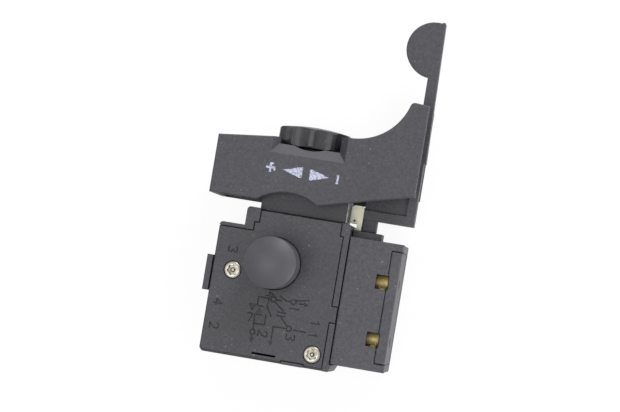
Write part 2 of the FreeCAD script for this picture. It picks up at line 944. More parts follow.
def add_return_spring_seat(piece):
    """Block with a spigot that the trigger's return spring stands on."""
    low = dims.spring_seat_up - dims.spring_seat_thickness
    piece.box(
        "spring_seat",
        (across(dims.leg_across), up(low), dims.case_floor / 2),
        (
            across(dims.leg_right),
            up(dims.spring_seat_up),
            dims.bridge_level + dims.return_spring_radius + dims.spring_seat_margin,
        ),
    )
    start = (across(dims.leg_middle), up(dims.spring_seat_up - dims.seat_gap), dims.bridge_level)
    length = dims.spring_spigot_length + dims.seat_gap
    piece.round_bar("spring_spigot", start, dims.spring_spigot_radius, length, "y")


def add_board_posts(piece):
    """Posts that the circuit board lies on, and the ledge for the capacitor."""
    floor = dims.case_floor / 2
    low = dims.case_wall / 2
    posts = [
        ("left", dims.board_left, low, dims.board_low + dims.post_width / 2),
        ("right", dims.board_right - dims.post_width, low, dims.board_low + dims.post_width / 2),
        ("upper", dims.frame_right + dims.post_gap, dims.board_top - dims.post_width, dims.board_top),
    ]
    for name, left, start, end in posts:
        piece.box(
            f"post_{name}",
            (across(left), up(start), floor),
            (across(left + dims.post_width), up(end), dims.board_level),
        )
    piece.box(
        "capacitor_ledge",
        (across(dims.inner_right - dims.ledge_width), up(dims.capacitor_up), floor),
        (
            across(dims.case_width - dims.case_wall / 2),
            up(dims.capacitor_up + dims.capacitor_height),
            dims.capacitor_back,
        ),
    )


def add_contact_ribs(piece):
    """Ribs from the lower wall that carry the two fixed contacts."""
    for name, x in (("left", dims.bridge_left + dims.button_contact_radius),
                    ("right", dims.bridge_right - dims.button_contact_radius)):
        piece.box(
            f"contact_rib_{name}",
            (across(x - dims.case_wall / 2), up(dims.case_wall / 2), dims.case_floor / 2),
            (across(x + dims.case_wall / 2), up(dims.blade_low), dims.bridge_front),
        )


def add_runners(piece):
    """Two low ribs that the plunger slides on."""
    low = dims.frame_low + dims.trigger_travel
    for name, x in (("left", dims.plunger_left + dims.frame_bar / 2),
                    ("right", dims.frame_right - dims.frame_bar / 2)):
        piece.box(
            f"runner_{name}",
            (across(x - dims.slide_gap * 2), up(low), dims.case_floor / 2),
            (
                across(x + dims.slide_gap * 2),
                up(dims.case_height),
                dims.plunger_back - dims.runner_gap,
            ),
        )


def add_module_rail(piece):
    """Rail on the right wall that the reversing module is pushed onto."""
    centre = dims.module_centre
    piece.box(
        "module_rail",
        (
            across(dims.case_width - dims.case_wall / 2),
            up(centre - dims.rail_height / 2),
            dims.middle - dims.rail_depth / 2,
        ),
        (
            across(dims.case_width + dims.rail_reach),
            up(centre + dims.rail_height / 2),
            dims.middle + dims.rail_depth / 2,
        ),
    )


def cover_plate():
    """Flat cover with its counterbores, button hole, snap slot and lower notch."""
    piece = Piece("cover_plate")
    gap = dims.cover_gap
    right_jamb = dims.case_width - dims.jamb_width - gap
    lip_up = dims.case_height + dims.shoulder_rise - dims.shoulder_height - gap
    foot_right = dims.step_across + dims.shoulder_foot + gap
    shoulder_right = dims.step_across + dims.shoulder_width + gap
    jamb_low = dims.case_height - dims.jamb_height - gap
    rim_low = dims.step_up - dims.rim_height - gap
    lip_left = dims.lip_across - gap
    lip_right = dims.lip_across + dims.lip_width + gap
    outline = [
        (across(0), up(dims.cover_setback)),
        (across(lip_left), up(dims.cover_setback)),
        (across(lip_left), up(dims.lip_height + gap)),
        (across(lip_right), up(dims.lip_height + gap)),
        (across(lip_right), up(dims.cover_setback)),
        (across(dims.inner_right - gap), up(dims.cover_setback)),
        *ear(dims.case_width - gap, gap),
        (across(dims.inner_right - gap), up(jamb_low)),
        (across(right_jamb), up(jamb_low)),
        (across(right_jamb), up(dims.case_height)),
        (across(shoulder_right), up(dims.case_height)),
        (across(shoulder_right), up(lip_up)),
        (across(foot_right), up(lip_up)),
        (across(foot_right), up(rim_low)),
        (across(0), up(rim_low)),
    ]
    piece.pad("plate", outline, dims.case_depth, dims.face)
    piece.fillet("corner", dims.cover_corner, upright_at(outline[0]))
    piece.chamfer("bevel", dims.cover_bevel, lies_at_level(dims.face))
    hole = dims.button_radius + dims.button_gap
    button = (across(dims.button_across), up(dims.button_up), dims.case_depth - OVER)
    through = dims.cover_thickness + OVER * 2
    piece.round_bar("button_hole", button, hole, through, cut=True)
    for name, x, y in screw_places():
        low = (across(x), up(y), dims.case_depth - OVER)
        bore = dims.screw_radius + dims.screw_play
        piece.round_bar(f"screw_hole_{name}", low, bore, through, cut=True)
        seat = (across(x), up(y), dims.face - dims.counterbore_depth)
        depth = dims.counterbore_depth + OVER
        piece.round_bar(f"counterbore_{name}", seat, dims.counterbore_radius, depth, cut=True)
    piece.box(
        "snap_slot",
        (across(dims.snap_across), up(dims.case_wall), dims.case_depth - OVER),
        (
            across(dims.snap_across + dims.snap_width),
            up(dims.case_wall + dims.snap_height),
            dims.face + OVER,
        ),
        cut=True,
    )


def cover_screws():
    """The two cover screws, each with a round socket in its head."""
    piece = Piece("cover_screws")
    piece.body.AllowCompound = True
    seat = dims.face - dims.counterbore_depth
    for name, x, y in screw_places():
        tip = (across(x), up(y), seat - dims.screw_length)
        piece.round_bar(f"shank_{name}", tip, dims.screw_radius, dims.screw_length + dims.screw_gap)
        head = (across(x), up(y), seat)
        piece.round_bar(f"head_{name}", head, dims.screw_head_radius, dims.screw_head_height)
        low = seat + dims.screw_head_height - dims.screw_socket_depth
        socket = (across(x), up(y), low)
        depth = dims.screw_socket_depth + OVER
        piece.round_bar(f"socket_{name}", socket, dims.screw_socket_radius, depth, cut=True)


def wire_clamps():
    """Three brass clamps, one behind each wire entry of the housing."""
    half = dims.clamp_size / 2
    left = dims.case_wall + dims.seat_gap
    for name, height in wire_entries():
        piece = Piece(f"wire_clamp_{name}")
        piece.box(
            "block",
            (across(left), up(height - half), dims.middle - half),
            (across(left + dims.clamp_length), up(height + half), dims.middle + half),
        )
        edge = dims.clamp_edge
        piece.fillet("edges", edge, lambda item: item.BoundBox.XLength > dims.clamp_size.number)
        start = (across(left - OVER), up(height), dims.middle)
        length = dims.clamp_length + OVER * 2
        piece.round_bar("bore", start, dims.wire_radius, length, "x", cut=True)


def lock_button():
    """Tall round cap with a low dome, hollow below, with two ears under the cover."""
    piece = Piece("lock_button")
    top = dims.face + dims.button_stand
    rim = top - dims.button_dome
    radius = dims.button_radius
    inner = radius - dims.button_wall
    ceiling = top - dims.button_crown
    dome_radius = (radius * radius + dims.button_dome * dims.button_dome) / (dims.button_dome * 2)
    bore = dims.pin_waist_radius + dims.running_gap
    hub_low = dims.case_depth + dims.button_gap
    section = [
        (bore, hub_low),
        (dims.button_hub_radius, hub_low),
        (dims.button_hub_radius, ceiling),
        (inner, ceiling),
        (inner, dims.button_bottom),
        (radius, dims.button_bottom),
        (radius, rim),
        Bend(0, top, dome_radius, "left"),
        (0, hub_low + dims.pin_grip),
        (bore, hub_low + dims.pin_grip),
    ]
    piece.revolve("cap", section)
    edge_level = rim.number

    def on_rim(edge):
        box = edge.BoundBox
        return box.ZLength < NEAR and abs(box.ZMin - edge_level) < NEAR

    piece.fillet("edge", dims.button_edge, on_rim)
    reach = radius + dims.button_ear_reach
    for name, side in (("left", -1), ("right", 1)):
        near = (inner + dims.button_wall / 2) * side
        far = reach * side
        low, high = (far, near) if side < 0 else (near, far)
        piece.box(
            f"ear_{name}",
            (low, -dims.button_ear_width / 2, dims.button_bottom),
            (high, dims.button_ear_width / 2, dims.case_depth - dims.button_ear_gap),
        )
    place(piece.body, (across(dims.button_across), up(dims.button_up), 0))


def pin_levels():
    """Lower and upper level of the lock pin's waist."""
    waist_low = dims.frame_front - dims.lips_depth - dims.slide_gap
    waist_high = dims.frame_front + dims.plunger_front_gap
    return waist_low, waist_high


def lock_pin():
    """Steel pin of the lock button, with the waist that the plunger's lips pass."""
    piece = Piece("lock_pin")
    waist_low, waist_high = pin_levels()
    hub_low = dims.case_depth + dims.button_gap
    grip = hub_low + dims.pin_grip - dims.running_gap
    section = [
        (0, dims.pin_foot_low),
        (dims.pin_radius, dims.pin_foot_low),
        (dims.pin_radius, waist_low),
        (dims.pin_waist_radius, waist_low),
        (dims.pin_waist_radius, waist_high),
        (dims.pin_radius, waist_high),
        (dims.pin_radius, hub_low - dims.running_gap),
        (dims.pin_waist_radius, hub_low - dims.running_gap),
        (dims.pin_waist_radius, grip),
        (0, grip),
    ]
    piece.revolve("pin", section)
    place(piece.body, (across(dims.button_across), up(dims.button_up), 0))


def lock_spring():
    """Spring between the pot's floor and the lock pin's foot."""
    piece = Piece("lock_spring")
    length = dims.pin_foot_low - dims.case_floor - dims.seat_gap * 2
    piece.helix(
        dims.lock_spring_radius, dims.lock_spring_wire, length, dims.lock_spring_turns
    )
    level = dims.case_floor + dims.seat_gap
    place(piece.body, (across(dims.button_across), up(dims.button_up), level))


def plunger():
    """Sliding block: a head in the trigger, a slotted frame and a spring leg in the housing."""
    piece = Piece("plunger")
    left = dims.plunger_left
    right = dims.plunger_right
    back = dims.plunger_back
    head = rectangle(across(left), up(dims.plunger_head_low), across(right), up(dims.plunger_top))
    piece.pad("head", head, back, dims.plunger_front)
    piece.fillet("head_edges", dims.plunger_edge, upright_at(*head))
    join = dims.plunger_head_low + dims.plunger_edge * 2
    piece.box(
        "frame",
        (across(left), up(dims.frame_low), back),
        (across(dims.frame_right), up(join), dims.frame_front),
    )
    piece.box(
        "leg",
        (across(dims.leg_across), up(dims.leg_low), back),
        (across(dims.leg_right), up(join), dims.frame_front),
    )
    add_lock_slot(piece)
    pocket = (across(dims.button_across), up(dims.frame_low - OVER), dims.bridge_level)
    depth = dims.contact_pocket_depth + OVER
    piece.round_bar("contact_pocket", pocket, dims.contact_pocket_radius, depth, "y", cut=True)
    add_nut_pocket(piece)
    reach = dims.stud_reach
    for name, x in (("left", dims.rib_left), ("right", dims.rib_right)):
        start = (across(x), up(dims.stud_up), back - reach)
        length = dims.plunger_front - back + reach * 2
        piece.round_bar(f"stud_{name}", start, dims.stud_radius, length)


def add_lock_slot(piece):
    """Slot that clears the spring pot, with the two lips that the lock pin catches."""
    half = dims.pot_radius + dims.plunger_front_gap
    low = dims.button_up - half
    high = dims.button_up + half + dims.trigger_travel
    x = dims.button_across
    lips_back = dims.frame_front - dims.lips_depth
    piece.box(
        "slot",
        (across(x - half), up(low), dims.plunger_back - OVER),
        (across(x + half), up(high), lips_back),
        cut=True,
    )
    lips_low = dims.button_up + dims.pin_radius + dims.slide_gap
    lips_high = lips_low + dims.lips_width
    gap = dims.pin_waist_radius + dims.plunger_front_gap
    front = dims.frame_front + OVER
    for name, start, end, reach in (
        ("below", low, lips_low, half),
        ("between", lips_low - dims.slide_gap, lips_high + dims.slide_gap, gap),
        ("above", lips_high, high, half),
    ):
        piece.box(
            f"slot_{name}",
            (across(x - reach), up(start), lips_back - dims.slide_gap),
            (across(x + reach), up(end), front),
            cut=True,
        )


def add_nut_pocket(piece):
    """Pocket in the plunger's head that the stop nut comes down into."""
    half = dims.nut_size / 2 + dims.plunger_front_gap
    low = dims.nut_low - dims.nut_travel - dims.plunger_front_gap
    piece.box(
        "nut_pocket",
        (across(dims.dial_across - half), up(low), dims.middle - half),
        (across(dims.dial_across + half), up(dims.plunger_top + OVER), dims.middle + half),
        cut=True,
    )


def guide_strip():
    """Thin steel strip down the plunger's right side."""
    piece = Piece("guide_strip")
    left = dims.plunger_right
    piece.box(
        "strip",
        (across(left), up(dims.plunger_head_low), dims.strip_back),
        (
            across(left + dims.strip_thickness),
            up(dims.plunger_head_low + dims.strip_height),
            dims.plunger_front - dims.strip_front_gap,
        ),
    )


def contact_bridge():
    """Brass bridge under the plunger's frame, with a contact button at each end."""
    piece = Piece("contact_bridge")
    piece.box(
        "bar",
        (across(dims.bridge_left), up(dims.bridge_low), dims.bridge_back),
        (across(dims.bridge_right), up(dims.bridge_top), dims.bridge_front),
    )
    radius = dims.button_contact_radius
    for name, x in (("left", dims.bridge_left + radius), ("right", dims.bridge_right - radius)):
        start = (across(x), up(dims.contact_low), dims.bridge_level)
        height = dims.button_contact_height + dims.bridge_thickness / 2
        piece.round_bar(f"button_{name}", start, radius, height, "y")


def contact_spring():
    """Small spring between the plunger's frame and the contact bridge."""
    piece = Piece("contact_spring")
    length = dims.bridge_gap + dims.contact_pocket_depth - dims.seat_gap * 2
    piece.helix(
        dims.contact_spring_radius, dims.contact_spring_wire, length, dims.contact_spring_turns
    )
    where = (across(dims.button_across), up(dims.bridge_top + dims.seat_gap), dims.bridge_level)
    place(piece.body, where, TURNS["y"])


def return_spring():
    """Spring that pushes the plunger's leg and the trigger back out."""
    piece = Piece("return_spring")
    length = dims.leg_low - dims.spring_seat_up - dims.seat_gap * 2
    piece.helix(
        dims.return_spring_radius, dims.return_spring_wire, length, dims.return_spring_turns
    )
    where = (across(dims.leg_middle), up(dims.spring_seat_up + dims.seat_gap), dims.bridge_level)
    place(piece.body, where, TURNS["y"])


def fixed_contacts():
    """Two brass blades that the bridge closes on, one to a clamp and one to the board."""
    radius = dims.button_contact_radius
    left = Piece("fixed_contact_left")
    clamp_right = dims.case_wall + dims.seat_gap + dims.clamp_length + dims.seat_gap
    left_button = dims.bridge_left + radius
    left.box(
        "blade",
        (across(clamp_right), up(dims.blade_low), dims.bridge_back),
        (across(left_button + radius), up(dims.blade_top), dims.bridge_front),
    )
    right = Piece("fixed_contact_right")
    right_button = dims.bridge_right - radius
    right.box(
        "blade",
        (across(right_button - radius), up(dims.blade_low), dims.bridge_back),
        (across(dims.board_right + dims.runner_gap), up(dims.blade_top), dims.bridge_front),
    )
    riser_left = dims.board_right + dims.runner_gap - dims.bridge_thickness
    right.box(
        "riser",
        (across(riser_left), up(dims.blade_low), dims.bridge_back),
        (across(dims.board_right + dims.runner_gap), up(dims.blade_top), dims.board_level),
    )
    for piece, x in ((left, left_button), (right, right_button)):
        start = (across(x), up(dims.blade_top - dims.bridge_thickness / 2), dims.bridge_level)
        height = dims.button_contact_height + dims.bridge_thickness / 2
        piece.round_bar("button", start, radius, height, "y")


def circuit_board():
    """Board that carries the speed control, between its posts and the cover."""
    piece = Piece("circuit_board")
    outline = rectangle(
        across(dims.board_left), up(dims.board_low), across(dims.board_right), up(dims.board_top)
    )
    piece.pad("board", outline, dims.board_level, dims.board_front)
    piece.fillet("corners", dims.case_corner, upright_at(*outline))


def triac():
    """Power switch of the speed control, flat on the board under its heat sink."""
    piece = Piece("triac")
    left = (dims.sink_left + dims.sink_right - dims.triac_width) / 2
    low = (dims.sink_low + dims.sink_high - dims.triac_height) / 2
    top = dims.board_front + dims.triac_thickness
    piece.box(
        "case",
        (across(left), up(low), dims.board_front),
        (across(left + dims.triac_width), up(low + dims.triac_height), top),
    )
    piece.chamfer("edges", dims.lid_bevel, lies_at_level(top))


def heat_sink():
    """Aluminium plate on top of the triac, under the cover."""
    piece = Piece("heat_sink")
    low = dims.board_front + dims.triac_thickness
    plate = rectangle(
        across(dims.sink_left), up(dims.sink_low), across(dims.sink_right), up(dims.sink_high)
    )
    piece.pad("plate", plate, low, low + dims.sink_thickness)
    piece.fillet("corners", dims.case_corner, upright_at(*plate))


def board_parts():
    """Resistor and trimmer on the board."""
    resistor = Piece("resistor")
    start = (across(dims.resistor_across), up(dims.resistor_up), dims.board_front + dims.resistor_radius)
    resistor.round_bar("body", start, dims.resistor_radius, dims.resistor_length, "x")
    resistor.fillet("ends", dims.resistor_round, lambda edge: edge.BoundBox.XLength < NEAR)
    trimmer = Piece("trimmer")
    trimmer.box(
        "body",
        (across(dims.trimmer_across), up(dims.trimmer_up), dims.board_front),
        (
            across(dims.trimmer_across + dims.trimmer_size),
            up(dims.trimmer_up + dims.trimmer_size),
            dims.board_front + dims.trimmer_thickness,
        ),
    )
    half = dims.trimmer_size / 2
    low = dims.board_front + dims.trimmer_thickness - dims.trimmer_dial_depth
    centre = (across(dims.trimmer_across + half), up(dims.trimmer_up + half), low)
    trimmer.round_bar("dial", centre, dims.trimmer_dial_radius, half, cut=True)


def capacitor():
    """Moulded capacitor on its ledge beside the lock button."""
    piece = Piece("capacitor")
    outline = rectangle(
        across(dims.capacitor_left),
        up(dims.capacitor_up),
        across(dims.capacitor_right),
        up(dims.capacitor_up + dims.capacitor_height),
    )
    back = dims.capacitor_back
    piece.pad("block", outline, back, back + dims.capacitor_thickness)
    piece.fillet("corners", dims.capacitor_round, upright_at(*outline))


def wiper():
    """Brass leaf on the plunger that slides under the board."""
    piece = Piece("wiper")
    start = dims.frame_low + dims.wiper_length
    step = dims.board_level - dims.frame_front - dims.wiper_thickness - dims.seat_gap * 2
    low = dims.frame_front
    outline = [
        (up(start), low),
        (up(start), low + dims.wiper_thickness),
        (up(start - dims.wiper_foot), low + dims.wiper_thickness),
        (up(dims.frame_low), low + dims.wiper_thickness + step),
        (up(dims.frame_low - dims.wiper_thickness), low + dims.wiper_thickness + step),
        (up(start - dims.wiper_foot), low),
    ]
    left = dims.plunger_left + dims.slide_gap
    piece.pad("leaf", outline, across(left), across(left + dims.wiper_width), "x")


def trigger_outline():
    """Side view of the trigger, from its lower left corner on round."""
    left = -dims.trigger_reach
    right = dims.trigger_right
    relief_across = dims.button_across + dims.relief_shift
    relief_up = dims.trigger_low - dims.relief_drop
    step_up = dims.trigger_low + dims.skirt_step
    radius = dims.relief_radius
    left_run = root(radius * radius - dims.relief_drop * dims.relief_drop)
    right_drop = step_up - relief_up
    right_run = root(radius * radius - right_drop * right_drop)
    curve_up = dims.trigger_low + dims.curve_height
    horn_up = dims.trigger_low + dims.horn_height
    curve = dims.curve_radius
    horn_drop = curve_up + curve - horn_up
    horn_run = root(curve * curve - horn_drop * horn_drop)
    return [
        (across(left), up(dims.trigger_low)),
        (across(relief_across - left_run), up(dims.trigger_low)),
        Bend(across(relief_across + right_run), up(step_up), radius, "right"),
        (across(right), up(dims.trigger_low + dims.end_height)),
        (across(right), up(horn_up - dims.horn_drop)),
        (across(dims.curve_across + horn_run), up(horn_up)),
        Bend(across(dims.curve_across), up(curve_up), curve, "right"),
        (across(dims.middle_across), up(dims.trigger_low + dims.middle_height)),
        (across(left), up(dims.trigger_low + dims.left_height)),
    ]


def trigger_hollow():
    """Side view of the trigger's inside, open below and at its forked end."""
    left = dims.trigger_cheek - dims.trigger_reach
    seat_left = dims.dial_across - dims.dial_radius - dims.dial_pocket_gap - dims.front_wall / 2
    seat_right = dims.dial_across + dims.dial_radius + dims.dial_pocket_gap + dims.front_wall / 2
    curve_up = dims.trigger_low + dims.curve_height + dims.curve_radius
    radius = dims.curve_radius + dims.front_wall
    start_run = seat_right - dims.curve_across
    start_drop = root(radius * radius - start_run * start_run)
    end_run = dims.fork_across - dims.curve_across
    end_drop = root(radius * radius - end_run * end_run)
    above = dims.trigger_low + dims.horn_height + OVER
    below = dims.trigger_low - OVER
    right = dims.trigger_right + OVER
    return [
        (across(left), up(below)),
        (across(right), up(below)),
        (across(right), up(above)),
        (across(dims.fork_across), up(above)),
        (across(dims.fork_across), up(curve_up - end_drop)),
        Bend(across(seat_right), up(curve_up - start_drop), radius, "right"),
        (across(seat_right), up(dims.dial_seat_low)),
        (across(seat_left), up(dims.dial_seat_low)),
        (across(seat_left), up(dims.trigger_low + dims.middle_height - dims.front_wall)),
        (across(left), up(dims.trigger_low + dims.left_height - dims.front_wall)),
    ]


def trigger():
    """Hollow trigger: two cheeks, a finger curve, and the seat and recess of the dial."""
    piece = Piece("trigger")
    outline = trigger_outline()
    piece.pad("shell", outline, dims.trigger_back, dims.trigger_front)
    piece.fillet("horn", dims.horn_round, upright_at(outline[5]))
    piece.fillet("edges", dims.trigger_edge, lies_at_level(dims.trigger_back, dims.trigger_front))
    piece.pocket("hollow", trigger_hollow(), dims.cheek_back, dims.cheek_front)
    pocket = (across(dims.dial_across), up(dims.dial_floor - dims.pocket_dip), dims.middle)
    depth = dims.pocket_dip + dims.dial_thickness + dims.dial_dome + OVER
    pocket_radius = dims.dial_radius + dims.dial_pocket_gap
    piece.round_bar("dial_pocket", pocket, pocket_radius, depth, "y", cut=True)
    piece.round_bar("dial_hub", pocket, dims.dial_hub_radius, dims.pocket_dip, "y")
    add_dial_recess(piece)
    screw = (across(dims.dial_across), up(dims.dial_seat_low - OVER), dims.middle)
    bore = dims.dial_screw_radius + dims.running_gap
    length = dims.dial_seat_thickness + OVER * 2
    piece.round_bar("screw_bore", screw, bore, length, "y", cut=True)
    add_plunger_ribs(piece)
    add_nut_guides(piece)


def add_dial_recess(piece):
    """Opening for the thumb in each cheek, sloping in to the dial on three sides."""
    top = dims.dial_floor + dims.dial_thickness + dims.dial_dome
    inner = dims.recess_half_width
    outer = inner + dims.recess_flare
    x = dims.dial_across
    back = dims.trigger_back + dims.recess_depth
    front = dims.trigger_front - dims.recess_depth
    narrow = rectangle(across(x - inner), up(dims.dial_floor), across(x + inner), up(top))
    wide = rectangle(
        across(x - outer), up(dims.dial_floor - dims.recess_drop), across(x + outer), up(top)
    )
    piece.funnel("recess_front", narrow, front, wide, dims.trigger_front)
    piece.funnel("recess_back", wide, dims.trigger_back, narrow, back)
    piece.pocket("dial_slot", narrow, back, front)


def add_plunger_ribs(piece):
    """Ribs inside the cheeks that the plunger's head snaps between."""
    half = dims.rib_width / 2
    low = dims.trigger_low + dims.rib_low
    seat = dims.seat_gap
    thrust = dims.plunger_top + seat
    for side, x in (("left", dims.rib_left), ("right", dims.rib_right)):
        for name, start, end, inner in (
            ("back", dims.cheek_back, dims.plunger_back - seat, dims.plunger_back + dims.rib_width),
            ("front", dims.plunger_front + seat, dims.cheek_front, dims.plunger_front - dims.rib_width),
        ):
            piece.box(
                f"rib_{side}_{name}",
                (across(x - half), up(low), start),
                (across(x + half), up(dims.dial_seat_low + OVER), end),
            )
            first, last = (dims.cheek_back, inner) if name == "back" else (inner, dims.cheek_front)
            piece.box(
                f"stop_{side}_{name}",
                (across(x - half), up(thrust), first),
                (across(x + half), up(dims.dial_seat_low + OVER), last),
            )
        start = (across(x), up(dims.stud_up), dims.plunger_back - dims.stud_reach - seat)
        length = dims.plunger_front - dims.plunger_back + (dims.stud_reach + seat) * 2
        piece.round_bar(f"stud_hole_{side}", start, dims.stud_radius + seat, length, cut=True)


def add_nut_guides(piece):
    """Two walls under the dial's seat that keep the stop nut from turning."""
    near = dims.nut_size / 2 + dims.runner_gap
    far = near + dims.guide_thickness
    half = dims.nut_size / 2
    low = dims.plunger_top + dims.slide_gap
    for name, start, end in (("left", -far, -near), ("right", near, far)):
        piece.box(
            f"guide_{name}",
            (across(dims.dial_across + start), up(low), dims.middle - half),
            (across(dims.dial_across + end), up(dims.dial_seat_low + OVER), dims.middle + half),
        )


def speed_dial():
    """Fluted thumb wheel with a low dome."""
    piece = Piece("speed_dial")
    radius = dims.dial_radius
    dome = dims.dial_dome
    dome_radius = (radius * radius + dome * dome) / (dome * 2)
    socket = dims.dial_screw_radius + dims.running_gap
    section = [
        (socket, 0),
        (radius, 0),
        (radius, dims.dial_thickness),
        Bend(0, dims.dial_thickness + dome, dome_radius, "left"),
        (0, dims.dial_socket + dims.running_gap),
        (socket, dims.dial_socket + dims.running_gap),
    ]
    piece.revolve("wheel", section, "y")
    rims = (0, dims.dial_thickness.number)

    def on_rim(edge):
        box = edge.BoundBox
        wide = box.XLength > radius.number
        return wide and box.YLength < NEAR and any(abs(box.YMin - y) < NEAR for y in rims)

    piece.chamfer("rim", dims.dial_edge, on_rim)
    add_flutes(piece)
    place(piece.body, (across(dims.dial_across), up(dims.dial_floor + dims.dial_gap), dims.middle))


def add_flutes(piece):
    """Concave flutes round the wheel, set so that a ridge faces the front."""
    drawn = piece.body.newObject("Sketcher::SketchObject", "speed_dial_flute_outline")
    planes = {plane.Role: plane for plane in piece.body.Origin.OriginFeatures}
    drawn.AttachmentSupport = [(planes["XZ_Plane"], "")]
    drawn.MapMode = "FlatFace"
    out = dims.dial_radius - dims.flute_depth + dims.flute_radius
    half_step = Size(180.0 / SIZES["flute_count"], "(180 / Sizes.flute_count)")
    sine = Size(math.sin(math.radians(half_step.number)), f"sin({half_step.text})")
    cosine = Size(math.cos(math.radians(half_step.number)), f"cos({half_step.text})")
    centre = (out * sine, out * cosine)
    circle = Part.Circle(
        FreeCAD.Vector(centre[0].number, centre[1].number, 0),
        FreeCAD.Vector(0, 0, 1),
        dims.flute_radius.number,
    )
    drawn.addGeometry(circle, False)
    for kind, value in zip(("DistanceX", "DistanceY"), centre):
        number = drawn.addConstraint(Sketcher.Constraint(kind, -1, 1, 0, 3, value.number))
        bind(drawn, f"Constraints[{number}]", value)
    number = drawn.addConstraint(Sketcher.Constraint("Radius", 0, dims.flute_radius.number))
    bind(drawn, f"Constraints[{number}]", dims.flute_radius)
    flute = piece.feature("PartDesign::Pocket", "flute")
    flute.Profile = drawn
    flute.Type = "ThroughAll"
    flute.Midplane = True
    axes = {axis.Role: axis for axis in piece.body.Origin.OriginFeatures}
    ring = piece.feature("PartDesign::PolarPattern", "flutes")
    ring.Originals = [flute]
    ring.Axis = (axes["Y_Axis"], [""])
    ring.Angle = 360
    bind(ring, "Occurrences", dims.flute_count)
    piece.body.Tip = ring


def dial_screw():
    """Screw of the dial, which runs down through the seat into the stop nut."""
    piece = Piece("dial_screw")
    top = dims.dial_floor + dims.dial_gap + dims.dial_socket
    start = (across(dims.dial_across), up(dims.dial_floor - dims.dial_screw_length), dims.middle)
    length = top - (dims.dial_floor - dims.dial_screw_length)
    piece.round_bar("screw", start, dims.dial_screw_radius, length, "y")
    piece.chamfer(
        "ends", dims.dial_screw_edge, lambda edge: edge.BoundBox.YLength < NEAR
    )


def dial_clip():
    """Open ring that holds the dial's screw under its seat."""
    piece = Piece("dial_clip")
    low = dims.dial_seat_low - dims.dial_gap - dims.clip_thickness
    centre = (across(dims.dial_across), up(low), dims.middle)
    piece.round_bar("ring", centre, dims.clip_radius, dims.clip_thickness, "y")
    bore = dims.dial_screw_radius + dims.running_gap
    start = (across(dims.dial_across), up(low - OVER), dims.middle)
    length = dims.clip_thickness + OVER * 2
    piece.round_bar("bore", start, bore, length, "y", cut=True)
    half = dims.clip_mouth / 2
    piece.box(
        "mouth",
        (across(dims.dial_across - half), up(low - OVER), dims.middle - dims.clip_radius - OVER),
        (across(dims.dial_across + half), up(low + dims.clip_thickness + OVER), dims.middle),
        cut=True,
    )


def stop_nut():
    """Square nut on the dial's screw, with an arm and a foot in front of the plunger."""
    piece = Piece("stop_nut")
    half = dims.nut_size / 2
    x = dims.dial_across
    piece.box(
        "block",
        (across(x - half), up(dims.nut_low), dims.middle - half),
        (across(x + half), up(dims.nut_top), dims.middle + half),
    )
    front = dims.cheek_front - dims.nut_foot_gap
    arm = dims.nut_arm_width / 2
    piece.box(
        "arm",
        (across(x - arm), up(dims.nut_top - dims.nut_arm_thickness), dims.middle),
        (across(x + arm), up(dims.nut_top), front),
    )
    sweep = dims.trigger_travel + dims.nut_travel
    foot_low = dims.case_height + dims.nut_foot_clearance + sweep
    piece.box(
        "foot",
        (across(x - arm), up(foot_low), front - dims.nut_foot_thickness),
        (across(x + arm), up(dims.nut_top), front),
    )
    start = (across(x), up(dims.nut_low - OVER), dims.middle)
    bore = dims.dial_screw_radius + dims.running_gap
    piece.round_bar("bore", start, bore, dims.nut_thickness + OVER * 2, "y", cut=True)


